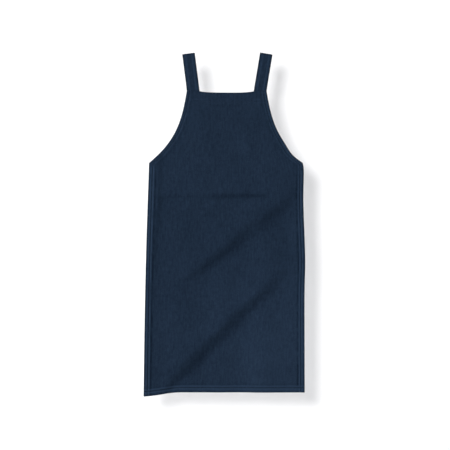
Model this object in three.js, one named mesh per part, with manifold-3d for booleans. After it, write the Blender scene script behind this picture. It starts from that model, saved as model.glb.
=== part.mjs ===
// Welding apron: a denim body with a narrow bib, and two long straps that fold over the
// hanging line and hang down behind. Millimetres, +Z up, front towards -Y, and left and
// right as seen from the front. The origin is on the hanging line, midway along it: the
// highest line of the space inside the two strap folds.
import * as THREE from 'three';
import * as BufferGeometryUtils from 'three/addons/utils/BufferGeometryUtils.js';
import Module from 'manifold-3d';

const wasm = await Module();
wasm.setup();

// Body outline
const BODY_LENGTH = 902; // bib's top edge to bottom hem
const BIB_WIDTH = 238; // along the bib's top edge
const CORNER_WIDTH = 464; // across the body where the armholes end
const HEM_WIDTH = 482; // along the bottom edge
const ARMHOLE_DEPTH = 216; // bib's top edge down to the armhole corners
const ARMHOLE_TOP_ANGLE = 9; // degrees from vertical where the armhole starts
const ARMHOLE_CORNER_ANGLE = 50; // degrees from vertical where it ends
const ARMHOLE_TOP_HANDLE = 100; // length of the curve's handle at the bib
const ARMHOLE_CORNER_HANDLE = 100; // length of the curve's handle at the corner
const BIB_TOP_DROP = 112; // hanging line down to the bib's top edge

// Cloth and the turned edges behind it
const CLOTH = 1; // one ply of the body's cloth
const HEM_PLIES = 2; // turned plies behind the body
const LAYER_GAP = 0.3; // between pieces that lie against each other
const BIB_HEM = 32;
const ARMHOLE_FACING = 11;
const SIDE_HEM = 13;
const BOTTOM_HEM = 17;

// Straps
const STRAP_WIDTH = 38;
const STRAP_THICKNESS = 2.6; // four plies, pressed
const STRAP_LAP = 30; // length sewn behind the bib
const LEFT_STRAP_LEAN = 7.2; // degrees outwards, going up
const RIGHT_STRAP_LEAN = 9.4;
const FOLD_RADIUS = 5; // inside radius of the fold
const TAIL_LENGTH = 920; // hanging length behind the fold
const TAIL_STRAIGHT = 60; // it keeps the strap's lean for this long
const TAIL_BEND_RADIUS = 2500; // then eases to vertical along this arc
const STRAP_EDGE_INSET = 3; // strap edge to its stitch row

// Side loops, behind the side hems just under the armhole corners
const LOOP_WIDTH = 14;
const LOOP_THICKNESS = 1.6;
const LOOP_GAP = 6; // room for a strap to pass
const LOOP_TAB = 8; // sewn length at each end
const LOOP_RAMP = 6; // tab to raised middle
const LOOP_CLEARANCE = 2; // inside length beyond the strap's width, each way
const LOOP_EDGE_INSET = 3; // side edge to the loop
const LOOP_CORNER_DROP = 16; // armhole corner to the loop's top

// Thread
const ROW_WIDTH = 0.9;
const ROW_HEIGHT = 0.6;
const ROW_INSET = 2; // inner edge of a hem to its stitch row
const TACK_INSET = 4; // strap edges to the box stitch that holds the strap
const BARTACK_LENGTH = 1.8;

const CURVE_STEPS = 28;
const FOLD_STEPS = 16;

// Layers from back to front, all worked out from the folds, whose centre line is y = 0
const foldZ = -FOLD_RADIUS;
const strapBackY = -FOLD_RADIUS;
const strapFrontY = strapBackY - STRAP_THICKNESS;
const hemBackY = strapFrontY - LAYER_GAP;
const hemFrontY = hemBackY - HEM_PLIES * CLOTH;
const bodyBackY = hemFrontY - LAYER_GAP;
const bodyFrontY = bodyBackY - CLOTH;
const rowBackY = bodyFrontY - LAYER_GAP;
const rowFrontY = rowBackY - ROW_HEIGHT;
const tailFrontY = FOLD_RADIUS;
const tailBackY = tailFrontY + STRAP_THICKNESS;
const bibTopZ = -BIB_TOP_DROP;

const denim = { color: 0x20303f, roughness: 0.92, metalness: 0 };
const denimBack = { color: 0x3a4858, roughness: 0.95, metalness: 0 };
const thread = { color: 0x2c3d50, roughness: 0.7, metalness: 0 };

const apron = new THREE.Group();

function addMesh(name, geometry, look, parent = apron) {
  const mesh = new THREE.Mesh(geometry, new THREE.MeshStandardMaterial(look));
  mesh.name = name;
  parent.add(mesh);
  return mesh;
}

// An outline in x and z, thickened from front to back
function slab(outline, front, back) {
  const depth = back - front;
  const geometry = new THREE.ExtrudeGeometry(new THREE.Shape(outline), { depth, bevelEnabled: false });
  return geometry.rotateX(Math.PI / 2).translate(0, back, 0);
}

function toSolid(geometry) {
  const bare = geometry.clone();
  bare.deleteAttribute('normal');
  bare.deleteAttribute('uv');
  const merged = BufferGeometryUtils.mergeVertices(bare);
  const vertProperties = merged.attributes.position.array;
  const triVerts = new Uint32Array(merged.index.array);
  return new wasm.Manifold(new wasm.Mesh({ numProp: 3, vertProperties, triVerts }));
}

function toGeometry(solid) {
  const { vertProperties, triVerts } = solid.getMesh();
  const geometry = new THREE.BufferGeometry();
  geometry.setAttribute('position', new THREE.BufferAttribute(vertProperties, 3));
  geometry.setIndex(new THREE.BufferAttribute(triVerts, 1));
  return geometry;
}

const point = (x, z) => new THREE.Vector2(x, z);
const mirror = (p) => point(-p.x, p.y);
const mirrored = (points) => points.map(mirror).reverse();
const radians = THREE.MathUtils.degToRad;

function offset(points, distance) {
  const last = points.length - 1;
  return points.map((p, i) => {
    const along = points[Math.min(i + 1, last)].clone().sub(points[Math.max(i - 1, 0)]).normalize();
    return point(p.x + along.y * distance, p.y - along.x * distance);
  });
}

function extended(points, amount) {
  const last = points.length - 1;
  const before = points[0].clone().sub(points[1]).setLength(amount).add(points[0]);
  const after = points[last].clone().sub(points[last - 1]).setLength(amount).add(points[last]);
  return [before, ...points, after];
}

// The body's edges, clockwise from the front, with the cloth always to their right
const bibCorner = point(BIB_WIDTH / 2, bibTopZ);
const armCorner = point(CORNER_WIDTH / 2, bibTopZ - ARMHOLE_DEPTH);
const hemCorner = point(HEM_WIDTH / 2, bibTopZ - BODY_LENGTH);

function armholeCurve() {
  const top = radians(ARMHOLE_TOP_ANGLE);
  const end = radians(ARMHOLE_CORNER_ANGLE);
  const topHandle = point(Math.sin(top), -Math.cos(top)).multiplyScalar(ARMHOLE_TOP_HANDLE);
  const endHandle = point(-Math.sin(end), Math.cos(end)).multiplyScalar(ARMHOLE_CORNER_HANDLE);
  const curve = new THREE.CubicBezierCurve(
    bibCorner,
    topHandle.add(bibCorner),
    endHandle.add(armCorner),
    armCorner,
  );
  return curve.getPoints(CURVE_STEPS);
}

const armhole = armholeCurve();
const edges = {
  bib: [mirror(bibCorner), bibCorner],
  rightArmhole: armhole,
  rightSide: [armCorner, hemCorner],
  bottom: [hemCorner, mirror(hemCorner)],
  leftSide: mirrored([armCorner, hemCorner]),
  leftArmhole: mirrored(armhole),
};
const rightEdge = [...armhole, hemCorner];
const bodyOutline = [...rightEdge, ...mirrored(rightEdge)];

// A strip of the body along one edge, between two distances from it
function strip(edge, near, far, front, back) {
  const path = extended(edge, 2 * BOTTOM_HEM);
  const outline = [...offset(path, near), ...offset(path, far).reverse()];
  return toSolid(slab(outline, front, back));
}

// Strips along all six edges. Armholes run on to the side edges and the bottom runs right
// across, so the bib's strip lies between the armholes' and the sides' between the others'.
function edging(spans, front, back) {
  const body = toSolid(slab(bodyOutline, front, back));
  const kept = (edge, [near, far]) => strip(edge, near, far, front, back).intersect(body);
  const cleared = (edge, far) => strip(edge, -LAYER_GAP, far + LAYER_GAP, front, back);
  const rightClear = cleared(edges.rightArmhole, spans.armhole[1]);
  const leftClear = cleared(edges.leftArmhole, spans.armhole[1]);
  const bottomClear = cleared(edges.bottom, spans.bottom[1]);
  return {
    bib: kept(edges.bib, spans.bib).subtract(rightClear).subtract(leftClear),
    bottom: kept(edges.bottom, spans.bottom),
    left_armhole: kept(edges.leftArmhole, spans.armhole),
    right_armhole: kept(edges.rightArmhole, spans.armhole),
    left_side: kept(edges.leftSide, spans.side).subtract(leftClear).subtract(bottomClear),
    right_side: kept(edges.rightSide, spans.side).subtract(rightClear).subtract(bottomClear),
  };
}

const hemSpans = {
  bib: [0, BIB_HEM],
  armhole: [0, ARMHOLE_FACING],
  side: [0, SIDE_HEM],
  bottom: [0, BOTTOM_HEM],
};

function rowSpan([, inner]) {
  const middle = inner - ROW_INSET;
  return [middle - ROW_WIDTH / 2, middle + ROW_WIDTH / 2];
}

const rowSpans = Object.fromEntries(
  Object.entries(hemSpans).map(([name, span]) => [name, rowSpan(span)]),
);

addMesh('body_panel', slab(bodyOutline, bodyFrontY, bodyBackY), denim);

const hems = edging(hemSpans, hemFrontY, hemBackY);
addMesh('bib_top_hem', toGeometry(hems.bib), denimBack);
addMesh('bottom_hem', toGeometry(hems.bottom), denimBack);
for (const side of ['left', 'right']) {
  addMesh(`${side}_armhole_facing`, toGeometry(hems[`${side}_armhole`]), denimBack);
  addMesh(`${side}_side_hem`, toGeometry(hems[`${side}_side`]), denimBack);
}

for (const [name, row] of Object.entries(edging(rowSpans, rowFrontY, rowBackY))) {
  addMesh(`${name}_stitch`, toGeometry(row), thread);
}

// One strap. Its group stands on the fold's centre with local z up along the strap and
// local x along the fold, so only the tail, which eases to vertical, is outlined in world x and z.
const sides = [
  { name: 'left', sign: -1, lean: radians(LEFT_STRAP_LEAN) },
  { name: 'right', sign: 1, lean: radians(RIGHT_STRAP_LEAN) },
];
const strapRootX = BIB_WIDTH / 2 - STRAP_WIDTH / 2;
const strapRise = foldZ - bibTopZ;

function foldX({ sign, lean }) {
  return sign * (strapRootX + strapRise * Math.tan(lean));
}

function box(x0, x1, y0, y1, z0, z1) {
  const geometry = new THREE.BoxGeometry(x1 - x0, y1 - y0, z1 - z0);
  return geometry.translate((x0 + x1) / 2, (y0 + y1) / 2, (z0 + z1) / 2);
}

function foldGeometry() {
  const outer = FOLD_RADIUS + STRAP_THICKNESS;
  const shape = new THREE.Shape();
  shape.absarc(0, 0, outer, 0, Math.PI, false);
  shape.absarc(0, 0, FOLD_RADIUS, Math.PI, 0, true);
  const settings = { depth: STRAP_WIDTH, bevelEnabled: false, curveSegments: FOLD_STEPS };
  const geometry = new THREE.ExtrudeGeometry(shape, settings);
  return geometry.translate(0, 0, -STRAP_WIDTH / 2).rotateY(Math.PI / 2).rotateX(Math.PI / 2);
}

// The box stitch's thread: a rectangle with both diagonals, as one flat lattice
function tackGeometry(bottom) {
  const half = STRAP_WIDTH / 2 - TACK_INSET;
  const low = bottom + TACK_INSET;
  const high = bottom + STRAP_LAP - TACK_INSET;
  const middle = point(0, (low + high) / 2);
  const corners = [point(-half, low), point(half, low), point(half, high), point(-half, high)];
  const shape = new THREE.Shape(corners);
  for (const [i, corner] of corners.entries()) {
    const next = corners[(i + 1) % corners.length];
    const centre = corner.clone().add(next).add(middle).divideScalar(3);
    const shrink = (p) => p.clone().sub(centre).multiplyScalar(1 - ROW_WIDTH / 3).add(centre);
    shape.holes.push(new THREE.Path([middle, next, corner].map(shrink)));
  }
  const geometry = new THREE.ExtrudeGeometry(shape, { depth: ROW_HEIGHT, bevelEnabled: false });
  return geometry.rotateX(Math.PI / 2).translate(0, strapBackY + LAYER_GAP + ROW_HEIGHT, 0);
}

function addStrapFront(side, group) {
  const half = STRAP_WIDTH / 2;
  const bottom = -(strapRise + STRAP_LAP) / Math.cos(side.lean);
  const front = box(-half, half, strapFrontY, strapBackY, bottom, -LAYER_GAP);
  addMesh(`${side.name}_strap_front`, front, denim, group);
  addMesh(`${side.name}_strap_fold`, foldGeometry(), denim, group);
  addMesh(`${side.name}_strap_tack_stitch`, tackGeometry(bottom), thread, group);
  for (const [edge, way] of [['outer', side.sign], ['inner', -side.sign]]) {
    const x = way * (half - STRAP_EDGE_INSET);
    const rise = side.sign * x * Math.tan(side.lean);
    const start = -strapRise / Math.cos(side.lean) + rise + ROW_WIDTH;
    const back = strapFrontY - LAYER_GAP;
    const row = box(x - ROW_WIDTH / 2, x + ROW_WIDTH / 2, back - ROW_HEIGHT, back, start, -LAYER_GAP);
    addMesh(`${side.name}_strap_${edge}_stitch`, row, thread, group);
  }
}

// The tail's middle line: along the strap's lean, then an arc to vertical, then straight down
function tailLine(side) {
  const turn = -side.sign * side.lean;
  const down = (angle) => point(Math.sin(angle), -Math.cos(angle));
  const start = point(foldX(side), foldZ).addScaledVector(down(turn), LAYER_GAP);
  const bendStart = start.clone().addScaledVector(down(turn), TAIL_STRAIGHT);
  const arc = [];
  for (let i = 1; i <= CURVE_STEPS; i += 1) {
    const angle = turn * (1 - i / CURVE_STEPS);
    const chord = 2 * TAIL_BEND_RADIUS * Math.sin((Math.abs(turn) - Math.abs(angle)) / 2);
    arc.push(bendStart.clone().addScaledVector(down((turn + angle) / 2), chord));
  }
  const bent = arc[arc.length - 1];
  const rest = TAIL_LENGTH - TAIL_STRAIGHT - TAIL_BEND_RADIUS * side.lean;
  const end = bent.clone().addScaledVector(down(0), rest);
  return [start, bendStart, ...arc, end];
}

function addTail(side) {
  const half = STRAP_WIDTH / 2;
  const line = tailLine(side);
  const between = (near, far) => [...offset(line, near), ...offset(line, far).reverse()];
  addMesh(`${side.name}_strap_tail`, slab(between(-half, half), tailFrontY, tailBackY), denim);

  // Its stitching runs down one edge, across the end and up the other
  const inset = half - STRAP_EDGE_INSET;
  const inner = inset - ROW_WIDTH;
  const shortened = (amount) => {
    const end = line[line.length - 1];
    return [...line.slice(0, -1), point(end.x, end.y + amount)];
  };
  const outerLine = shortened(STRAP_EDGE_INSET);
  const innerLine = shortened(STRAP_EDGE_INSET + ROW_WIDTH);
  const outline = [
    ...offset(outerLine, -inset),
    ...offset(outerLine, inset).reverse(),
    ...offset(innerLine, inner),
    ...offset(innerLine, -inner).reverse(),
  ];
  const front = tailBackY + LAYER_GAP;
  addMesh(`${side.name}_strap_tail_stitch`, slab(outline, front, front + ROW_HEIGHT), thread);
}

// A side loop, drawn from the side: two sewn tabs with a raised middle for a strap
const loopInside = STRAP_WIDTH + 2 * LOOP_CLEARANCE;
const loopHalf = loopInside / 2 + LOOP_RAMP + LOOP_TAB;
const loopFrontY = hemBackY + LAYER_GAP;

function loopGeometry() {
  const rampEnd = loopInside / 2;
  const rampStart = rampEnd + LOOP_RAMP;
  const steps = 6;
  const path = [point(loopFrontY, -loopHalf)];
  for (const way of [-1, 1]) {
    for (let i = 0; i <= steps; i += 1) {
      const share = way < 0 ? i / steps : 1 - i / steps;
      const lift = LOOP_GAP * THREE.MathUtils.smoothstep(share, 0, 1);
      path.push(point(loopFrontY + lift, way * (rampStart - LOOP_RAMP * share)));
    }
  }
  path.push(point(loopFrontY, loopHalf));
  const outline = [...path, ...offset(path, LOOP_THICKNESS).reverse()];
  const settings = { depth: LOOP_WIDTH, bevelEnabled: false };
  const geometry = new THREE.ExtrudeGeometry(new THREE.Shape(outline), settings);
  return geometry.translate(0, 0, -LOOP_WIDTH / 2).rotateX(Math.PI / 2).rotateZ(Math.PI / 2);
}

function addLoop(side) {
  const edgeSlope = (HEM_WIDTH - CORNER_WIDTH) / 2 / (BODY_LENGTH - ARMHOLE_DEPTH);
  const middleZ = armCorner.y - LOOP_CORNER_DROP - loopHalf;
  const edgeX = armCorner.x + edgeSlope * (armCorner.y - middleZ);
  const group = new THREE.Group();
  group.position.set(side.sign * (edgeX - LOOP_EDGE_INSET - LOOP_WIDTH / 2), 0, middleZ);
  apron.add(group);
  addMesh(`${side.name}_side_loop`, loopGeometry(), denimBack, group);

  const half = LOOP_WIDTH / 2;
  const front = loopFrontY + LOOP_THICKNESS + LAYER_GAP;
  for (const [end, way] of [['top', 1], ['bottom', -1]]) {
    const middle = way * (loopHalf - LOOP_TAB / 2);
    const low = middle - BARTACK_LENGTH / 2;
    const bar = box(-half, half, front, front + ROW_HEIGHT, low, low + BARTACK_LENGTH);
    addMesh(`${side.name}_loop_${end}_bartack`, bar, thread, group);
  }
}

for (const side of sides) {
  const strap = new THREE.Group();
  strap.position.set(foldX(side), 0, foldZ);
  strap.rotation.y = side.sign * side.lean;
  apron.add(strap);
  addStrapFront(side, strap);
  addTail(side);
  addLoop(side);
}

export default apron;
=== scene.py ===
import math

import bpy
import numpy as np
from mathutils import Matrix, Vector, noise


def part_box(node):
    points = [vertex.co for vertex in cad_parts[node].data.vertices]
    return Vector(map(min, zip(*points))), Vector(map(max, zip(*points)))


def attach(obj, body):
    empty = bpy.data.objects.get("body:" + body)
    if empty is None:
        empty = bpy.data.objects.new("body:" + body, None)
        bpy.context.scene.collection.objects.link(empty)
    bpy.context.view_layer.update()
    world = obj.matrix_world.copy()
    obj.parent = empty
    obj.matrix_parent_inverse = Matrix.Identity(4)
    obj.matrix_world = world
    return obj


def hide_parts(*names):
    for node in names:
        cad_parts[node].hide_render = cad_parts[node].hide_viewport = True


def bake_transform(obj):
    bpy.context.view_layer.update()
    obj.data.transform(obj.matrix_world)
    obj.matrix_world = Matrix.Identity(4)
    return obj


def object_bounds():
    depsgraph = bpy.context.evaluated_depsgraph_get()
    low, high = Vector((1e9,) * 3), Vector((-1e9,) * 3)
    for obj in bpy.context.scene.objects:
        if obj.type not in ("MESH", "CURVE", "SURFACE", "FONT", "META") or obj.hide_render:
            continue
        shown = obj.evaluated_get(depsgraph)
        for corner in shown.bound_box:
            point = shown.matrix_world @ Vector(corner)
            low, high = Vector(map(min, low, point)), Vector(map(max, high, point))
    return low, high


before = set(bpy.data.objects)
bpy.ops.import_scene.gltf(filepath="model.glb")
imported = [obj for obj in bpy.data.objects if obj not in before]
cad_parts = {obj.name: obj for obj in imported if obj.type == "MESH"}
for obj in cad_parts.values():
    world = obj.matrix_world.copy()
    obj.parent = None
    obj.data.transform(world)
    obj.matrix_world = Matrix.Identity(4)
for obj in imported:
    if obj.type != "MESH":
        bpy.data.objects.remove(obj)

cad_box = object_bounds()

# The studio. The apron hangs from its strap folds in front of a pale wall, well above a pale
# floor, and is seen straight on from far back. A broad lamp rakes over the cloth from the upper
# left, and a small one beside the camera throws the soft shadow on the wall.
box_low, box_high = (Vector(corner) for corner in cad_box)
box_middle = (box_low + box_high) / 2
aim = box_middle + Vector((-0.005, 0, -0.008))
camera_distance = 4.5
view_width = 1.35
sensor_width = 36
wall_y = 1.0
floor_z = -1.6
stage_width = 8
floor_depth = 3.2
room_light = 0.11
room_brightness_seen = 0.80


def add_camera():
    camera = bpy.data.objects.new("camera", bpy.data.cameras.new("camera"))
    bpy.context.collection.objects.link(camera)
    camera.data.sensor_width = sensor_width
    camera.data.lens = sensor_width * camera_distance / view_width
    camera.location = aim - Vector((0, camera_distance, 0))
    camera.rotation_euler = (math.pi / 2, 0, 0)
    bpy.context.scene.camera = camera


def add_lamp(name, place, size, power):
    """A round lamp, at a place given from the camera's aim, that points at the aim."""
    lamp = bpy.data.objects.new(name, bpy.data.lights.new(name, "AREA"))
    bpy.context.collection.objects.link(lamp)
    lamp.data.shape = "DISK"
    lamp.data.size = size
    lamp.data.energy = power
    lamp.location = aim + Vector(place)
    lamp.rotation_mode = "QUATERNION"
    lamp.rotation_quaternion = (-Vector(place)).to_track_quat("-Z", "Y")


add_camera()
add_lamp("raking_lamp", place=(-4.95, -3.05, 3.1), size=1.9, power=352)
add_lamp("shadow_lamp", place=(-0.25, -4.5, 0.21), size=0.26, power=143)
add_lamp("back_lamp", place=(0.9, 0.9, 1.5), size=0.6, power=10)
scene = bpy.context.scene
scene.view_settings.view_transform = "Standard"


class Value:
    """A shader socket that takes part in Python sums, each of which adds its Math node."""

    def __init__(self, finish, socket):
        self.finish = finish
        self.socket = socket

    def maths(self, operation, *terms):
        sockets = dict(enumerate(terms))
        return self.finish.add("ShaderNodeMath", {"operation": operation}, sockets)

    def __add__(self, other):
        return self.maths("ADD", self, other)

    def __radd__(self, other):
        return self.maths("ADD", other, self)

    def __sub__(self, other):
        return self.maths("SUBTRACT", self, other)

    def __rsub__(self, other):
        return self.maths("SUBTRACT", other, self)

    def __mul__(self, other):
        return self.maths("MULTIPLY", self, other)

    def __rmul__(self, other):
        return self.maths("MULTIPLY", other, self)

    def sine(self):
        return self.maths("SINE", self)


class Finish:
    """The nodes of a new material or world, with one method that adds a node to them."""

    def __init__(self, owner):
        self.owner = owner
        owner.use_nodes = True
        self.tree = owner.node_tree
        self.tree.nodes.clear()

    def add(self, kind, settings, sockets, output=0):
        """Adds a node: its settings, its sockets' values or links, and the output to hand back."""
        node = self.tree.nodes.new(kind)
        for key, setting in settings.items():
            setattr(node, key, setting)
        for key, term in sockets.items():
            if isinstance(term, Value):
                self.tree.links.new(term.socket, node.inputs[key])
            else:
                node.inputs[key].default_value = term
        return Value(self, node.outputs[output]) if node.outputs else None


def studio_paint():
    """Pale matt paint that shows from the front and is clear from behind."""
    finish = Finish(bpy.data.materials.new("studio_paint"))
    paint = finish.add(
        "ShaderNodeBsdfPrincipled",
        {},
        {"Base Color": (0.92, 0.92, 0.925, 1), "Roughness": 1.0, "Specular IOR Level": 0.0},
    )
    behind = finish.add("ShaderNodeNewGeometry", {}, {}, "Backfacing")
    clear = finish.add("ShaderNodeBsdfTransparent", {}, {})
    shader = finish.add("ShaderNodeMixShader", {}, {0: behind, 1: paint, 2: clear})
    finish.add("ShaderNodeOutputMaterial", {}, {"Surface": shader})
    return finish.owner


def add_stage():
    """A floor that runs forward from the foot of a wall."""
    paint = studio_paint()
    half = stage_width / 2
    bpy.ops.mesh.primitive_plane_add(size=stage_width, location=(0, wall_y - half, floor_z))
    floor = bpy.context.object
    floor.name = "floor"
    for vertex in floor.data.vertices:
        vertex.co.y = max(vertex.co.y, half - floor_depth)
    bpy.ops.mesh.primitive_plane_add(
        size=stage_width,
        location=(0, wall_y, floor_z + half),
        rotation=(math.pi / 2, 0, 0),
    )
    wall = bpy.context.object
    wall.name = "wall"
    for piece in (floor, wall):
        piece.data.materials.append(paint)


def light_the_room():
    """A dim room all round, which looks pale where it is seen past the stage."""
    room = Finish(bpy.data.worlds.new("studio"))
    seen = room.add("ShaderNodeLightPath", {}, {}, "Is Camera Ray")
    strength = room.add(
        "ShaderNodeMapRange",
        {},
        {"Value": seen, "To Min": room_light, "To Max": room_brightness_seen},
    )
    painted_light_and_wear = room.add("ShaderNodeBackground", {}, {"Color": (0.95, 0.96, 1.0, 1), "Strength": strength})
    room.add("ShaderNodeOutputWorld", {}, {"Surface": painted_light_and_wear})
    scene.world = room.owner


bpy.ops.object.select_all(action="DESELECT")
add_stage()
light_the_room()

# The body: bib and skirt in one cut of indigo denim, one ply thick. Its sides, bottom and bib top
# are turned to the back and stitched, and its armhole edges are turned a little, under the
# facings. It hangs from the straps, with a few drag lines where it was folded and pulled.
ply = 0.001
body_low, body_high = (Vector(corner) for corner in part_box("body_panel"))
front_ply_y = (body_low.y + body_high.y) / 2
bib_top = body_high.z
hem_line = body_low.z
bib_half = 0.119
corner_half = 0.232
hem_half = body_high.x
armhole_depth = 0.216
bib_hem = 0.032
side_hem = 0.013
bottom_hem = 0.017
armhole_turn = 0.005
armhole_slant = (9, 50)
armhole_handle = 0.1
edge_zone = 0.020
turn_radius = 0.001
raw_end = 0.0017
tuck = 0.0009
armhole_row = 0.009
side_row = 0.011
bottom_row = 0.015
bib_row = 0.030
rope_pitch = 0.0096
rib_turn = 4100


def smooth(share):
    share = np.clip(share, 0, 1)
    return share * share * (3 - 2 * share)


def near(value, middle, reach):
    """1 at the middle, fading smoothly to nothing beyond about twice the reach."""
    return np.exp(-(((value - middle) / reach) ** 2))


def edge_outline():
    """The right edge from the bib's corner to the hem's corner, in 1 mm steps: x, z and the turn
    of its outward normal above horizontal, eased so that rows across the body never cross."""
    top, end = np.radians(armhole_slant)
    corner = np.array([corner_half, bib_top - armhole_depth])
    start = np.array([bib_half, bib_top])
    points = [start, start + [armhole_handle * math.sin(top), -armhole_handle * math.cos(top)]]
    points += [corner + [-armhole_handle * math.sin(end), armhole_handle * math.cos(end)], corner]
    t = np.linspace(0, 1, 400)[:, None]
    weights = ((1 - t) ** 3, 3 * t * (1 - t) ** 2, 3 * t * t * (1 - t), t**3)
    armhole = sum(weight * point for weight, point in zip(weights, points))
    outline = np.vstack([armhole, [hem_half, hem_line]])
    along = np.concatenate([[0], np.cumsum(np.linalg.norm(np.diff(outline, axis=0), axis=1))])
    marks = np.arange(0, along[-1], 0.001)
    x, z = (np.interp(marks, along, outline[:, k]) for k in (0, 1))
    lean = np.arctan2(np.gradient(x), -np.gradient(z))
    spread = np.exp(-0.5 * (np.arange(-42, 43) / 14) ** 2)
    eased = np.convolve(np.pad(lean, 42, mode="edge"), spread / spread.sum(), mode="valid")
    eased *= smooth(marks / 0.03) * smooth((along[-1] - marks) / 0.03)
    return marks, x, z, eased, along[-2], along[-1]


edge_marks, edge_x, edge_z, edge_lean, armhole_length, edge_length = edge_outline()


def inside_edge(along, inset):
    """x and z of the point that lies inset metres inside the right edge, along metres down it."""
    x = np.interp(along, edge_marks, edge_x)
    z = np.interp(along, edge_marks, edge_z)
    lean = np.interp(along, edge_marks, edge_lean)
    return x - inset * np.cos(lean), z - inset * np.sin(lean)


def side_share(along):
    """0 along the armhole and 1 along the side, eased round the corner."""
    return smooth((along - armhole_length + 0.008) / 0.016)


def fold_line(x, z, start, end, bow, height, upper, lower):
    """A soft ridge from start to end, bowed sideways, with its own width above and below."""
    start, end = np.array(start), np.array(end)
    run = end - start
    length = np.linalg.norm(run)
    share = ((x - start[0]) * run[0] + (z - start[1]) * run[1]) / length**2
    away = ((z - start[1]) * run[0] - (x - start[0]) * run[1]) / length
    away = away - bow * 4 * share * (1 - share)
    width = np.where(away > 0, upper, lower)
    ends = smooth(share / 0.3 + 0.15) * smooth((1 - share) / 0.3 + 0.15)
    return height * np.exp(-((away / width) ** 2)) * ends


def crumple(x, z, scale, seed):
    """Smooth uneven waves about zero, each about as wide as the scale."""
    places = zip((x / scale).ravel(), (z / scale).ravel())
    return np.array([noise.noise((a, b, seed)) for a, b in places]).reshape(x.shape)


# Folds in the hanging cloth: start, end, bow, height forward, and the width above and below. The
# first four are the two long drag lines, each a ridge and the hollow under it. Then come a faint
# one between them, one down the left side, and one from each end of the bib.
drag_folds = [
    ((-0.255, -1.063), (0.185, -0.630), 0.009, 0.0105, 0.040, 0.019),
    ((-0.233, -1.087), (0.207, -0.654), 0.009, -0.0088, 0.019, 0.085),
    ((-0.169, -0.698), (0.232, -0.388), 0.004, 0.0088, 0.042, 0.024),
    ((-0.149, -0.726), (0.252, -0.416), 0.004, -0.0068, 0.023, 0.070),
    ((-0.110, -0.560), (0.120, -0.470), -0.010, 0.0014, 0.030, 0.020),
    ((-0.207, -0.240), (-0.212, -0.690), 0.0, 0.0044, 0.010, 0.019),
    ((-0.105, -0.125), (-0.040, -0.330), 0.008, 0.0020, 0.018, 0.022),
    ((0.105, -0.125), (0.055, -0.320), -0.008, 0.0018, 0.022, 0.018),
]
packing_crease = ((-0.290, -0.439), (0.175, -0.432), 0.003, -0.0030, 0.008, 0.014)


def relief(x, z):
    """How far the hanging cloth stands back from its flat plane, in metres. Forward is negative."""
    skirt = smooth((bib_top - z) / 0.9)
    wander_x = x + 0.007 * crumple(x, z, 0.12, 5.5)
    wander_z = z + 0.009 * crumple(x, z, 0.10, 9.1)
    forward = sum(fold_line(wander_x, wander_z, *fold) for fold in drag_folds)
    forward += fold_line(x, z, *packing_crease)
    back = 0.0035 * skirt + 0.0026 * skirt * np.sin(x / 0.036 + 0.9)
    back += 0.0016 * skirt * np.sin(x / 0.019 - 1.1)
    back += 0.0022 * crumple(x, z, 0.16, 3.1) + 0.0007 * crumple(x, z, 0.045, 7.7)
    back += 0.00020 * crumple(x, z, 0.013, 1.3)
    return back - forward


def hang(points):
    """Flat places on the body, moved to where they hang: the bib's top sags, the left hem corner
    droops, the side edges wave, and the cloth stands back and forward in its folds."""
    x, y, z = points.T
    depth = bib_top - z
    fall = np.clip((depth - armhole_depth) / (bib_top - hem_line - armhole_depth), 0, 1)
    sag = 0.0055 * np.clip(1 - (x / 0.088) ** 4, 0, 1) * np.exp(-np.maximum(depth, 0) / 0.06)
    droop = 0.012 * smooth((-0.125 - x) / 0.125) * smooth((depth - 0.70) / 0.20)
    body = smooth(1 + depth / 0.07)
    left_wave = -0.0026 * np.sin(math.pi * fall)
    right_wave = 0.0024 * near(z, -0.620, 0.070) - 0.0028 * near(z, -0.430, 0.080)
    right_wave -= 0.0080 * near(z, -0.306, 0.026)
    moved_x = x - 0.0075 * fall + smooth(-x / 0.2) * left_wave + smooth(x / 0.2) * right_wave
    moved_z = z - (sag + droop + 0.0020 * smooth(fall) - 0.0014) * body
    return np.column_stack([moved_x, y + relief(x, z) * body, moved_z])


def seam_shape(inset, along, row):
    """The cloth's y near a row of stitches: pressed back in the row, plump and roped beside it."""
    away = inset - row
    groove = 0.00080 * near(away, 0, 0.0016)
    plump = 0.00075 * near(away, -0.0042, 0.0028) + 0.00060 * near(away, 0.0040, 0.0028)
    rope = np.sin(2 * np.pi * (along + 0.7 * away) / rope_pitch + 3 * np.sin(along / 0.031))
    return groove - plump + 0.00022 * rope * near(away, 0, 0.006)


def seam_wear_and_painted_shade(inset, row, shade=0.5):
    """How much lighter the cloth has worn on the plump lines beside a row of stitches, less a painted
    shade in the row's groove and a painted shade, as strong as shade, a little way further in.
    """
    away = inset - row
    beside = near(away, -0.0036, 0.0021) + 0.9 * near(away, 0.0036, 0.0021)
    # Painted shade: the row's groove and a line a little way further in are made darker.
    return beside - shade * near(away, 0.0095, 0.003) - 0.9 * near(away, 0, 0.0017)


def cloth_grid(name, rows, columns):
    """A flat grid, and each of its vertices' row and column numbers."""
    bpy.ops.object.select_all(action="DESELECT")
    bpy.ops.mesh.primitive_grid_add(x_subdivisions=columns - 1, y_subdivisions=rows - 1, size=2)
    piece = bpy.context.object
    piece.name = name
    piece.data.name = name
    flat = np.empty(len(piece.data.vertices) * 3)
    piece.data.vertices.foreach_get("co", flat)
    flat = flat.reshape(-1, 3)
    column = np.rint((flat[:, 0] + 1) / 2 * (columns - 1)).astype(int)
    row = np.rint((flat[:, 1] + 1) / 2 * (rows - 1)).astype(int)
    return piece, row, column


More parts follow.
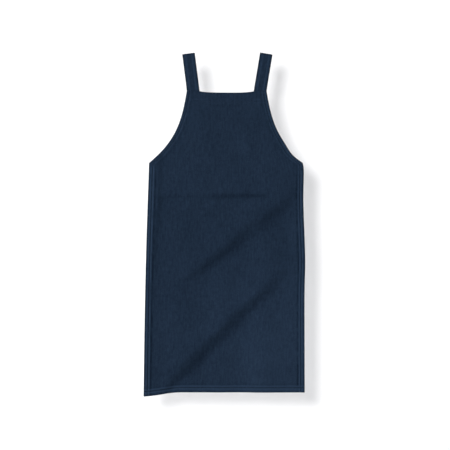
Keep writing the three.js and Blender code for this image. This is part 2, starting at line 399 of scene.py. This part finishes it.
def lay_cloth(piece, places, cloth, painted_light_and_wear):
    """Moves the grid's vertices, and keeps each one's place on the flat cloth and its wear, painted
    light and painted shade.
    """
    piece.data.vertices.foreach_set("co", places.ravel())
    corners = np.empty(len(piece.data.loops), dtype=int)
    piece.data.loops.foreach_get("vertex_index", corners)
    piece.data.uv_layers[0].name = "cloth"
    piece.data.uv_layers["cloth"].data.foreach_set("uv", cloth[corners].ravel())
    # The attribute holds wear, painted light and painted shade.
    wear_and_painted_light = piece.data.attributes.new("wear_and_painted_light", "FLOAT", "POINT")
    wear_and_painted_light.data.foreach_set("value", painted_light_and_wear.astype(np.float32))
    piece.data.update()


def drop_faces(piece, unwanted):
    """Deletes the faces whose corners are all unwanted."""
    bpy.ops.object.mode_set(mode="EDIT")
    bpy.ops.mesh.select_mode(type="FACE")
    bpy.ops.mesh.select_all(action="DESELECT")
    bpy.ops.object.mode_set(mode="OBJECT")
    for polygon in piece.data.polygons:
        polygon.select = all(unwanted[corner] for corner in polygon.vertices)
    bpy.ops.object.mode_set(mode="EDIT")
    bpy.ops.mesh.delete(type="FACE")
    bpy.ops.object.mode_set(mode="OBJECT")


def finish_modifiers(piece):
    """Applies the piece's modifiers in their order."""
    bpy.context.view_layer.objects.active = piece
    for modifier in list(piece.modifiers):
        bpy.ops.object.modifier_apply(modifier=modifier.name)


def steps(*stops):
    """Places from the first stop on: each later stop is (place, step up to it)."""
    places = [stops[0]]
    for end, step in stops[1:]:
        count = max(1, round((end - places[-1]) / step))
        places += list(np.linspace(places[-1], end, count + 1)[1:])
    return np.array(places)


turn_angles = np.radians([45, 90, 135])
turn_insets = turn_radius * (1 - np.sin(turn_angles))
turn_rises = (1 - np.cos(turn_angles)) / 2


def across_body():
    """The body's columns from left to right: inset from the edge, share of the way out for those
    further in (negative on the left), and how far each has turned to the back, from 0 to 1."""
    share = np.linspace(0, 1, 49)[:-1]
    front = np.array([20, 17, 15, 13.5, 12, 11, 10, 9, 8, 6.5, 5, 3.5, 2, 1]) / 1000
    back = np.array([1, 3, 5, 7, 9, 11, 12.2, 13]) / 1000
    edge_count = len(front) + len(turn_insets) + len(back)
    inset = np.concatenate([np.full(len(share), edge_zone), front, turn_insets, back])
    turned = np.concatenate([np.zeros(len(share) + len(front)), turn_rises, np.ones(len(back))])
    share = np.concatenate([share, np.ones(edge_count)])
    mirrored = ((inset, inset), (-share, share), (turned, turned))
    return [np.concatenate([left[::-1], right[1:]]) for left, right in mirrored]


def down_body():
    """The body's rows from the bib hem's inner edge, over the top, down and round to the bottom
    hem's inner edge: place along the edge, how far turned, and at which end (1 bib, 2 bottom)."""
    bib_back = np.array([32, 31.4, 30, 28, 24, 18, 12, 6, 2]) / 1000
    bottom_back = np.array([1.6, 4, 7, 10, 13, 15, 16.4, 17]) / 1000
    front = steps(
        turn_radius,
        (0.040, 0.0026),
        (armhole_length - 0.02, 0.0042),
        (armhole_length + 0.02, 0.0026),
        (edge_length - 0.03, 0.0050),
        (edge_length - turn_radius, 0.0021),
    )
    top = [bib_back, turn_insets[::-1]]
    bottom = [edge_length - turn_insets, edge_length - bottom_back]
    turned = [np.ones(len(bib_back)), turn_rises[::-1], 0 * front, turn_rises, np.ones(len(bottom_back))]
    end = [np.full(sum(map(len, top)), 1), np.zeros(len(front)), np.full(sum(map(len, bottom)), 2)]
    return np.concatenate([*top, front, *bottom]), np.concatenate(turned), np.concatenate(end)


# Lines of painted shade: start, end, bow, strength, and the width above and below. The first two
# are painted shade in the crease across the body, the others painted shade on the undersides of
# the two long drag lines.
painted_shade_lines = [
    ((-0.290, -0.434), (0.175, -0.426), 0.003, 0.16, 0.007, 0.009),
    ((-0.060, -0.428), (0.135, -0.426), 0.001, 0.34, 0.007, 0.009),
    ((-0.140, -0.985), (0.165, -0.685), 0.004, 0.22, 0.012, 0.016),
    ((-0.080, -0.655), (0.165, -0.490), 0.004, 0.22, 0.009, 0.018),
]


class BodyPlaces:
    """Where each of the body's vertices lies on the flat cloth, and what is turned there."""

    def __init__(self, row, column):
        row_along, row_turn, row_end = down_body()
        column_inset, column_share, column_turn = across_body()
        self.along, self.end_turn, self.end = row_along[row], row_turn[row], row_end[row]
        self.share, self.side_turn = column_share[column], column_turn[column]
        self.on_side = side_share(self.along)
        self.on_edge = np.abs(self.share) == 1
        self.at_back = self.side_turn == 1
        self.cut_inset = column_inset[column]
        hem = armhole_turn + (side_hem - armhole_turn) * self.on_side
        reach = turn_radius + (self.cut_inset - turn_radius) * hem / side_hem
        self.inset = np.where(self.at_back, reach, self.cut_inset)
        x, self.z = inside_edge(self.along, self.inset)
        self.x = x * self.share
        self.from_bib, self.from_hem = bib_top - self.z, self.z - hem_line
        self.at_bottom = self.end == 2
        self.depth = np.where(self.at_bottom, edge_length - self.along, self.along)

    def turned_y(self):
        """How far each turned edge stands behind the front ply, with its raw end tucked in."""
        tucked = tuck * smooth((self.cut_inset - 0.0112) / 0.0018) * self.at_back * self.on_side
        side_rise = (0.0012 + 0.0011 * self.on_side) * self.side_turn - tucked
        over_side_hem = smooth((0.0165 - self.inset) / 0.003) * self.on_edge
        rise = np.where(self.at_bottom, 0.0020 + 0.0013 * over_side_hem, 0.0020)
        inner = np.where(self.at_bottom, bottom_hem, bib_hem)
        tucked = tuck * smooth((self.depth - inner + raw_end) / raw_end) * (self.end_turn == 1)
        return np.maximum(side_rise, rise * self.end_turn - tucked)

    def seams_y(self):
        """How far the rows of stitches press the cloth back, which shows less behind."""
        strength = np.where((self.side_turn < 1) & (self.end_turn < 1), 1, 0.35)
        side = np.where(self.on_edge, seam_shape(self.inset, self.along, self.row_inset()), 0)
        bottom = seam_shape(self.from_hem, self.x, bottom_row) * (self.from_hem < 0.04)
        bib = 0.8 * seam_shape(self.from_bib, self.x, bib_row) * (self.from_bib < 0.05)
        return (side + bottom + bib) * strength

    def row_inset(self):
        """How far inside the edge its row of stitches runs."""
        return armhole_row + (side_row - armhole_row) * self.on_side

    def wear_and_painted_light(self):
        """How much paler (above 0) or darker (below 0) the cloth's colour is made: worn paler beside
        the rows of stitches and on the turned edges' rounding, painted shade in the rows' grooves, a
        little way inside the rows, in the crease and under the drag lines, painted light above the
        crease and in a patch at the right edge, and lighter towards the lower right.
        """
        x, z = self.x, self.z
        patchy = 1 + 1.1 * crumple(x, z, 0.022, 4.4) + 0.5 * crumple(x, z, 0.009, 2.2)
        side_wear_and_painted_shade = seam_wear_and_painted_shade(self.inset, self.row_inset()) * (0.45 + 0.95 * self.on_side) * patchy
        painted_light_and_wear = np.where(self.on_edge, side_wear_and_painted_shade, 0)
        painted_light_and_wear += seam_wear_and_painted_shade(self.from_hem, bottom_row, 0.1) * (1.4 + 0.5 * patchy)
        painted_light_and_wear += 0.15 * seam_wear_and_painted_shade(self.from_bib, bib_row)
        # Painted shade: the crease and the undersides of the two long drag lines are made darker.
        painted_light_and_wear -= sum(fold_line(x, z, *line) for line in painted_shade_lines)
        # Painted light: the cloth above the crease is made lighter.
        painted_light_and_wear += 0.11 * smooth((z + 0.48) / 0.06)
        # Painted light: a lighter patch at the right edge, between the drag lines.
        painted_light_and_wear += 0.28 * near(x, 0.205, 0.018) * near(z, -0.55, 0.07)
        painted_light_and_wear += 0.42 * near(x, 0.16, 0.20) * near(z, -0.90, 0.26)
        rounding_side = self.side_turn * (self.side_turn < 1) * self.on_side
        rounding_end = self.end_turn * (self.end_turn < 1)
        return painted_light_and_wear + 0.4 * np.maximum(rounding_side, rounding_end)

    def flat_cloth(self):
        """Each place on the cloth as it was cut, with its turned edges opened out."""
        beyond_side = np.where(self.side_turn > 0, 2 * self.inset, 0) * np.sign(self.share)
        beyond_end = np.where(self.at_bottom, -2, 2) * self.depth * (self.end_turn > 0)
        return np.column_stack([self.x + beyond_side, self.z + beyond_end])

    def cut_away(self):
        """The folded corners, which are trimmed, and the bib hem's ends, under the straps."""
        corner = (self.side_turn > 0) & (self.end_turn > 0)
        bib_end = (self.end == 1) & (self.end_turn == 1) & self.on_edge & (self.inset < 0.0125)
        return corner | bib_end


def make_body():
    piece, row, column = cloth_grid("body", len(down_body()[0]), len(across_body()[0]))
    places = BodyPlaces(row, column)
    y = front_ply_y + places.turned_y() + places.seams_y()
    points = hang(np.column_stack([places.x, y, places.z]))
    lay_cloth(piece, points, places.flat_cloth(), places.wear_and_painted_light())
    drop_faces(piece, places.cut_away())
    return piece


def face_forward(piece):
    """Turns the cloth's normals so that its face side is the front."""
    middle = min(piece.data.polygons, key=lambda p: abs(p.center.x) + abs(p.center.z - box_middle.z))
    if middle.normal.y > 0:
        bpy.ops.object.mode_set(mode="EDIT")
        bpy.ops.mesh.select_all(action="SELECT")
        bpy.ops.mesh.flip_normals()
        bpy.ops.object.mode_set(mode="OBJECT")


def thicken(piece, thickness, reverse_slot):
    """Gives the cloth its thickness, with the material of the given slot on its reverse."""
    solid = piece.modifiers.new("thickness", "SOLIDIFY")
    solid.thickness = thickness
    solid.offset = 0
    solid.material_offset = reverse_slot
    finish_modifiers(piece)


def cloth_noise(finish, cloth, scale, detail):
    """Uneven yarns or patches, with their number in each metre across and down the cloth."""
    placed = finish.add("ShaderNodeMapping", {}, {"Vector": cloth, "Scale": (*scale, 1)})
    return finish.add("ShaderNodeTexNoise", {}, {"Vector": placed, "Scale": 1.0, "Detail": detail})


def mixed_colour(finish, share, dark, light):
    sockets = {"Factor": share, 6: (*dark, 1), 7: (*light, 1)}
    return finish.add("ShaderNodeMix", {"data_type": "RGBA"}, sockets, 2)


def denim(name, dark, light, ribs, wear_and_light_gain):
    """Indigo twill on the flat cloth, in metres: diagonal ribs, uneven warp and weft yarns with
    slubs and flecks, larger patches of fading, and the rubbed places, painted light and painted
    shade that the attribute of wear and painted light gives."""
    finish = Finish(bpy.data.materials.new(name))
    cloth = finish.add("ShaderNodeUVMap", {"uv_map": "cloth"}, {})
    across = finish.add("ShaderNodeSeparateXYZ", {}, {0: cloth}, 0)
    down = finish.add("ShaderNodeSeparateXYZ", {}, {0: cloth}, 1)
    wander = cloth_noise(finish, cloth, (60, 60), 2.0)
    rib = (across * rib_turn + down * rib_turn + wander * 3.0).sine() * 0.5 + 0.5
    warp = cloth_noise(finish, cloth, (1500, 26), 2.0)
    slub = cloth_noise(finish, cloth, (230, 30), 2.0)
    weft = cloth_noise(finish, cloth, (40, 1300), 2.0)
    patch = cloth_noise(finish, cloth, (11, 8), 4.0)
    fleck = cloth_noise(finish, cloth, (420, 420), 3.0)
    mottle = cloth_noise(finish, cloth, (130, 100), 2.0)
    wear_and_painted_light = finish.add("ShaderNodeAttribute", {"attribute_name": "wear_and_painted_light"}, {}, "Fac")
    # The attribute adds wear, painted light and painted shade to the cloth's tone.
    rubbed_and_painted_light = wear_and_painted_light * (fleck * 1.2 + 0.4) * wear_and_light_gain
    tone = rib * ribs + (warp - 0.5) * 0.55 + (weft - 0.5) * 0.25 + (patch - 0.5) * 0.28
    tone = tone + (fleck - 0.5) * 0.9 + (slub - 0.5) * 0.62 + (mottle - 0.5) * 0.6 + rubbed_and_painted_light + 0.36
    tone = finish.add("ShaderNodeClamp", {}, {"Value": tone})
    height = rib * 0.7 + warp * 0.6 + weft * 0.3 + fleck * 0.35
    bump = finish.add("ShaderNodeBump", {}, {"Strength": 0.5, "Distance": 0.00025, "Height": height})
    shader = finish.add(
        "ShaderNodeBsdfPrincipled",
        {},
        {
            "Base Color": mixed_colour(finish, tone, dark, light),
            "Roughness": 0.97 - tone * 0.12,
            "Specular IOR Level": 0.06,
            "Sheen Weight": 0.008,
            "Sheen Roughness": 0.45,
            "Sheen Tint": (0.55, 0.68, 1.0, 1),
            "Normal": bump,
        },
    )
    finish.add("ShaderNodeOutputMaterial", {}, {"Surface": shader})
    return finish.owner


denim_face = denim(
    "denim_face",
    dark=(0.0030, 0.0078, 0.0166),
    light=(0.0127, 0.0252, 0.0482),
    ribs=0.10,
    wear_and_light_gain=0.60,
)
denim_reverse = denim(
    "denim_reverse",
    dark=(0.030, 0.044, 0.066),
    light=(0.150, 0.180, 0.225),
    ribs=0.22,
    wear_and_light_gain=0.10,
)


def dress(piece, *materials):
    piece.data.materials.clear()
    for material in materials:
        piece.data.materials.append(material)


body = make_body()
dress(body, denim_face, denim_reverse)
face_forward(body)
thicken(body, ply, 1)
bpy.ops.object.shade_smooth()
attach(body, "apron")
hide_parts("body_panel", "bib_top_hem", "bottom_hem", "left_side_hem", "right_side_hem")
panel_area = np.sum((edge_x[1:] + edge_x[:-1]) * -np.diff(edge_z))
turned_area = 2 * (side_hem * (edge_length - armhole_length) + hem_half * bottom_hem + bib_half * bib_hem)
float(panel_area + turned_area)

# The armhole facings: a strip of the same denim, cut on the slant, pressed and stitched over each
# armhole's narrow turned edge at the back, so that no raw edge shows.
facing_width = 0.0105
facing_thick = 0.0009
facing_inset = 0.0008
facing_y = front_ply_y + 0.0022
facing_start = 0.033
facing_end = armhole_length - 0.003
row_steps = np.array([-1.5, -0.7, 0, 0.7, 1.5]) / 1000


def section(half_width, half_thick, rows=(), ridges=()):
    """A flat band's outline in 2 mm steps or less: across, outwards, and how much its colour is made
    paler by wear or darker by painted shade. It has rounded edges, a groove along each row of
    stitches, and a ridge over each edge folded inside. The plump lines and ridges are worn paler;
    the grooves and the rounded edges get painted shade."""
    rounded = np.array([0, 0.25, 0.7, 1.4]) / 1000 - half_width
    inner = half_width - 0.0022
    flat = np.linspace(-inner, inner, 2 * math.ceil(inner / 0.0018) + 1)
    near_rows = [side * row + step for row in rows for side in (-1, 1) for step in row_steps]
    across = np.sort(np.concatenate([rounded, flat, -rounded, near_rows]))
    across = across[np.concatenate([[True], np.diff(across) > 0.0001])]
    from_middle = np.abs(across)
    edge = np.clip((half_width - from_middle) / 0.0014, 0, 1)
    groove = sum(near(from_middle, row, 0.0008) for row in rows)
    plump = sum(near(np.abs(from_middle - row), 0.0026, 0.0016) for row in rows)
    ridge = sum(near(from_middle, place, 0.0018) for place in ridges)
    lift = half_thick * np.sqrt(1 - (1 - edge) ** 2)
    lift = lift * (1 - 0.30 * groove + 0.12 * plump + 0.16 * ridge)
    # Painted shade in the grooves and along the rounded edges; the plump lines and ridges are worn paler.
    worn_and_painted_shade = 0.3 * plump - 0.6 * groove + ridge - 0.5 * near(from_middle, half_width, 0.0008)
    return [
        np.concatenate([front, back[-2:0:-1], front[:1]])
        for front, back in ((across, across), (lift, -lift), (worn_and_painted_shade, worn_and_painted_shade))
    ]


def close_band(piece):
    """Joins a band's two long edges, closes its ends and turns its faces outwards."""
    bpy.ops.object.mode_set(mode="EDIT")
    bpy.ops.mesh.select_mode(type="VERT")
    bpy.ops.mesh.select_all(action="SELECT")
    bpy.ops.mesh.remove_doubles(threshold=0.000004)
    bpy.ops.mesh.select_all(action="DESELECT")
    bpy.ops.mesh.select_non_manifold()
    bpy.ops.mesh.fill_holes(sides=0)
    bpy.ops.mesh.select_all(action="SELECT")
    bpy.ops.mesh.normals_make_consistent(inside=False)
    bpy.ops.object.mode_set(mode="OBJECT")


def make_band(name, along, outline, place):
    """A sewn band: its outline, swept down along and put in place by place(across, along, out)."""
    across, out, worn_and_painted_shade = outline
    piece, row, column = cloth_grid(name, len(along), len(across))
    length = along[row]
    ends = np.minimum(length - along[0], along[-1] - length)
    thin = np.where(ends < 1e-6, 0.35, 1.0)
    pucker = 1 + 0.05 * np.sin(2 * np.pi * length / rope_pitch + 2 * np.sin(length / 0.023))
    points = place(across[column], length, out[column] * thin * pucker)
    cloth = np.column_stack([across[column] + np.sign(out[column]) * 0.5, length])
    lay_cloth(piece, points, cloth, worn_and_painted_shade[column])
    close_band(piece)
    bpy.ops.object.shade_smooth()
    return piece


def facing_place(sign):
    """Puts a band behind the armhole's edge: on the right with a sign of 1, on the left with -1."""

    def place(across, along, out):
        x, z = inside_edge(along, facing_inset + facing_width / 2 + across)
        return hang(np.column_stack([sign * x, facing_y + out, z]))

    return place


for side, sign in (("left", -1), ("right", 1)):
    rows = steps(facing_start, (facing_end, 0.004))
    shape = section(facing_width / 2, facing_thick / 2)
    facing = make_band(f"{side}_armhole_binding", rows, shape, facing_place(sign))
    dress(facing, denim_face)
    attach(facing, "apron")
    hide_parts(f"{side}_armhole_facing")
    facing_end - facing_start


# The straps: each is one strip of denim folded lengthwise into a flat band and edge stitched. Its
# lower end is sewn behind the bib. It goes up, folds over the hanging line, and its long tail
# hangs down the back, to be crossed there and tied.
strap_width = 0.038
strap_thick = 0.0026
strap_lap = 0.030
strap_row = strap_width / 2 - 0.003
strap_ridge = 0.0092
fold_middle = 0.0063
fold_z = -0.005
tail_length = 0.920
tail_straight = 0.060
tail_bend = 2.5
fold_arc = math.pi * fold_middle


class Strap:
    """Where the middle of one strap runs: up the front, over the fold, and down the back."""

    def __init__(self, side, sign, lean):
        self.side = side
        self.sign = sign
        self.lean = math.radians(lean)
        self.rise = (fold_z - bib_top) / math.cos(self.lean)
        self.front = self.rise + strap_lap / math.cos(self.lean)
        self.length = self.front + fold_arc + tail_length
        root = bib_half - strap_width / 2
        self.fold_x = sign * (root + (fold_z - bib_top) * math.tan(self.lean))

    def tail_middle(self, down):
        """x, z and slant of the tail's middle line, down metres below the fold."""
        arc = tail_bend * self.lean
        slant = self.lean * np.clip(1 - (down - tail_straight) / arc, 0, 1)
        straight = np.minimum(down, tail_straight)
        bent = np.clip(down - tail_straight, 0, arc)
        below = np.maximum(down - tail_straight - arc, 0)
        left = self.lean - bent / tail_bend
        x = straight * math.sin(self.lean) + tail_bend * (np.cos(left) - math.cos(self.lean))
        z = straight * math.cos(self.lean) + tail_bend * (math.sin(self.lean) - np.sin(left))
        return self.fold_x - self.sign * x, fold_z - z - below, -self.sign * slant

    def place(self, across, along, out):
        """Where a point of the strap goes: along is 0 at its lower end, out is towards its face."""
        before = self.front - along
        turn = np.clip(-before / fold_arc, 0, 1) * math.pi
        down = np.maximum(-before - fold_arc, 0)
        x, z, slant = self.tail_middle(down)
        up = np.where(turn < math.pi, (fold_middle + out) * np.sin(turn), 0) - np.maximum(before, 0)
        y = -(fold_middle + out) * np.cos(turn)
        swing = smooth(down / 0.12)
        y = y + swing * (0.0012 * np.sin(down / 0.055 + 2 * self.sign) + 0.0042 * smooth(down / 0.5))
        y = y + swing * across * 0.05 * np.sin(down / 0.16 + self.sign)
        x = x + across * np.cos(slant) + self.sign * np.sin(self.lean) * up
        z = z + across * np.sin(slant) + np.cos(self.lean) * up
        x = x + self.sign * 0.0012 * smooth(down / 0.3) * np.sin(down / 0.11)
        points = np.column_stack([x, y, z])
        sewn = smooth(before / 0.02)[:, None]
        return points * (1 - sewn) + hang(points) * sewn


def blend_strap(piece):
    """Bakes the piece's placement into its mesh."""
    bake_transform(piece)


straps = [Strap("left", -1, 7.2), Strap("right", 1, 9.4)]
for strap in straps:
    rows = steps(
        0.0,
        (strap.front - 0.004, 0.0035),
        (strap.front + fold_arc + 0.004, 0.0013),
        (strap.length, 0.0040),
    )
    shape = section(strap_width / 2, strap_thick / 2, [strap_row], [strap_ridge])
    band = make_band(f"{strap.side}_strap", rows, shape, strap.place)
    dress(band, denim_face)
    blend_strap(band)
    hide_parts(*(f"{strap.side}_strap_{part}" for part in ("front", "fold", "tail")))


# The side loops: a narrow folded strip of denim behind each side edge, sewn down at its two ends
# and standing clear of the hem between them, so that a strap can pass through.
loop_width = 0.014
loop_thick = 0.0016
loop_gap = 0.006
loop_tab = 0.008
loop_ramp = 0.006
loop_half = strap_width / 2 + 0.002 + loop_ramp + loop_tab
loop_y = -0.0070


def loop_place(middle):
    """Puts a band upright at the middle of a loop, its two ends down and the rest raised."""

    def place(across, along, out):
        share = (loop_half - loop_tab - np.abs(along)) / loop_ramp
        lift = loop_gap * smooth(share)
        slope = np.where((share > 0) & (share < 1), 6 * share * (1 - share) * loop_gap / loop_ramp, 0)
        lean = np.arctan(slope) * -np.sign(along)
        y = loop_y + lift + out * np.cos(lean)
        z = middle.z + along - out * np.sin(lean)
        return hang(np.column_stack([middle.x + across, y, z]))

    return place


loop_middles = {}
for side in ("left", "right"):
    loop_low, loop_high = (Vector(corner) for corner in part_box(f"{side}_side_loop"))
    loop_middles[side] = (loop_low + loop_high) / 2
    rows = steps(-loop_half, (loop_half, 0.0014))
    shape = section(loop_width / 2, loop_thick / 2)
    loop = make_band(f"{side}_back_loop", rows, shape, loop_place(loop_middles[side]))
    dress(loop, denim_face)
    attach(loop, "apron")
    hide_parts(f"{side}_side_loop")


# The stitching: rows of lock stitches in navy thread, which show on both faces of the cloth. Each
# stitch is a short raised piece of thread that dives into the cloth at its two ends.
stitch_pitch = 0.0032
stitch_length = 0.0030
thread_half = 0.00030
stitch_dive = 0.55
row_end = 0.004
tack_stitches = 22
tack_pitch = 0.0006


def model_stitch():
    """One stitch along X, raised in its middle and lowered at its ends."""
    bpy.ops.object.select_all(action="DESELECT")
    on_its_side = (0, math.pi / 2, 0)
    bpy.ops.mesh.primitive_uv_sphere_add(segments=6, ring_count=5, radius=1, rotation=on_its_side)
    stitch = bpy.context.object
    bpy.ops.object.transform_apply(location=False, rotation=True, scale=False)
    for vertex in stitch.data.vertices:
        dive = stitch_dive * vertex.co.x**4
        vertex.co.x *= stitch_length / 2
        vertex.co.y *= thread_half
        vertex.co.z = (vertex.co.z - dive) * thread_half
    return stitch


def sew(name, stitches, place, stretch=1.0):
    """Copies one stitch to each of the given places: across, along, direction, height and face,
    which is 1 or -1. place turns across, along and height into points."""
    across, along, direction, height, face = (np.asarray(part, float) for part in zip(*stitches))
    piece = model_stitch()
    piece.name = name
    piece.data.name = name
    each = len(piece.data.vertices)
    copies = piece.modifiers.new("copies", "ARRAY")
    copies.count = len(across)
    copies.relative_offset_displace = (0, 0, 0)
    finish_modifiers(piece)
    local = np.empty(len(piece.data.vertices) * 3)
    piece.data.vertices.foreach_get("co", local)
    run, width, lift = local.reshape(-1, 3).T * np.array([[stretch], [1], [1]])
    number = np.arange(len(run)) // each
    width, lift = width * face[number], lift * face[number]
    cos, sin = np.cos(direction[number]), np.sin(direction[number])
    points = place(
        across[number] + run * cos - width * sin,
        along[number] + run * sin + width * cos,
        height[number] + lift,
    )
    piece.data.vertices.foreach_set("co", points.ravel())
    piece.data.update()
    bpy.ops.object.mode_set(mode="EDIT")
    bpy.ops.mesh.select_all(action="SELECT")
    bpy.ops.mesh.normals_make_consistent(inside=False)
    bpy.ops.object.mode_set(mode="OBJECT")
    bpy.ops.object.shade_smooth()
    dress(piece, thread)
    return piece


def flat_place(across, along, height):
    """Puts stitches on the body."""
    return hang(np.column_stack([across, height, along]))


def row_stitches(points, layers):
    """Stitches along a line of flat points, on each of the given (height, face) layers."""
    points = np.asarray(points)
    lengths = np.linalg.norm(np.diff(points, axis=0), axis=1)
    total = np.concatenate([[0], np.cumsum(lengths)])
    count = max(1, round(total[-1] / stitch_pitch))
    middles = (np.arange(count) + 0.5) * total[-1] / count
    before, after = (
        np.column_stack([np.interp(middles + reach, total, points[:, k]) for k in (0, 1)])
        for reach in (-0.001, 0.001)
    )
    directions = np.arctan2(*(after - before).T[::-1])
    spots = np.column_stack([(before + after) / 2, directions])
    return [(*spot, height, face) for height, face in layers for spot in spots]


def thread_finish():
    """Matt navy thread with fine fibres, a little lighter and darker along its length."""
    finish = Finish(bpy.data.materials.new("navy_thread"))
    spot = finish.add("ShaderNodeTexCoord", {}, {}, "Object")
    fibre = finish.add("ShaderNodeTexNoise", {}, {"Vector": spot, "Scale": 1900.0, "Detail": 2.0})
    length = finish.add("ShaderNodeTexNoise", {}, {"Vector": spot, "Scale": 45.0, "Detail": 1.0})
    tone = fibre * 0.7 + length * 0.3
    bump = finish.add("ShaderNodeBump", {}, {"Strength": 0.4, "Distance": 0.0001, "Height": fibre})
    shader = finish.add(
        "ShaderNodeBsdfPrincipled",
        {},
        {
            "Base Color": mixed_colour(finish, tone, (0.006, 0.012, 0.022), (0.026, 0.046, 0.080)),
            "Roughness": 0.8 - fibre * 0.15,
            "Specular IOR Level": 0.12,
            "Normal": bump,
        },
    )
    finish.add("ShaderNodeOutputMaterial", {}, {"Surface": shader})
    return finish.owner


thread = thread_finish()
front_face = front_ply_y - ply / 2 + 0.00035
hem_back = front_ply_y + 0.0023 + ply / 2


def edge_row(start, end, inset, sign):
    """A line of stitches inside the right edge, or the left one with a sign of -1."""
    x, z = inside_edge(np.arange(start, end, 0.002), inset)
    return np.column_stack([sign * x, z])


def on_body(piece, *nodes):
    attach(piece, "apron")
    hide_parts(*nodes)


bib_line = [(-0.083, bib_top - bib_row), (0.083, bib_top - bib_row)]
bib_layers = [(front_face, -1), (hem_back - 0.0005, 1)]
on_body(sew("bib_stitching", row_stitches(bib_line, bib_layers), flat_place), "bib_stitch")
hem_line_end = hem_half - 0.003
bottom_line = [(-hem_line_end, hem_line + bottom_row), (hem_line_end, hem_line + bottom_row)]
bottom_layers = [(front_face, -1), (hem_back - 0.0003, 1)]
on_body(sew("bottom_stitching", row_stitches(bottom_line, bottom_layers), flat_place), "bottom_stitch")
for side, sign in (("left", -1), ("right", 1)):
    arm_line = edge_row(row_end, armhole_length - row_end, armhole_row, sign)
    arm_layers = [(front_face, -1), (facing_y + facing_thick / 2, 1)]
    arm = sew(f"{side}_armhole_stitching", row_stitches(arm_line, arm_layers), flat_place)
    on_body(arm, f"{side}_armhole_stitch")
    side_line = edge_row(armhole_length + row_end, edge_length - 0.002, side_row, sign)
    side_layers = [(front_face, -1), (hem_back, 1)]
    seam = sew(f"{side}_side_stitching", row_stitches(side_line, side_layers), flat_place)
    on_body(seam, f"{side}_side_stitch")

band_face = strap_thick / 2 - 0.00022
for strap in straps:
    start, end = strap.front - strap.rise + 0.002, strap.length - 0.003
    stitches = []
    for line in (
        [(-strap_row, start), (-strap_row, end)],
        [(strap_row, start), (strap_row, end)],
        [(-strap_row, end), (strap_row, end)],
    ):
        stitches += row_stitches(line, [(band_face, 1), (-band_face, -1)])
    edging = sew(f"{strap.side}_strap_stitching", stitches, strap.place)
    blend_strap(edging)
    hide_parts(*(f"{strap.side}_strap_{row}_stitch" for row in ("outer", "inner", "tail")))

    half = strap_width / 2 - 0.004
    low, high = row_end, strap_lap - row_end
    square = [(-half, low), (half, low), (half, high), (-half, high), (-half, low)]
    stitches = []
    for line in (square, [(-half, low), (half, high)], [(half, low), (-half, high)]):
        stitches += row_stitches(line, [(-strap_thick / 2 + 0.0001, -1)])
    tack = sew(f"{strap.side}_box_stitching", stitches, strap.place)
    on_body(tack, f"{strap.side}_strap_tack_stitch")

for side in ("left", "right"):
    for end, way in (("top", 1), ("bottom", -1)):
        along = way * (loop_half - loop_tab / 2)
        spots = (np.arange(tack_stitches) - (tack_stitches - 1) / 2) * tack_pitch
        bar = [(across, along, math.pi / 2, loop_thick / 2, 1) for across in spots]
        tack = sew(f"{side}_loop_{end}_tack", bar, loop_place(loop_middles[side]), 0.8)
        on_body(tack, f"{side}_loop_{end}_bartack")
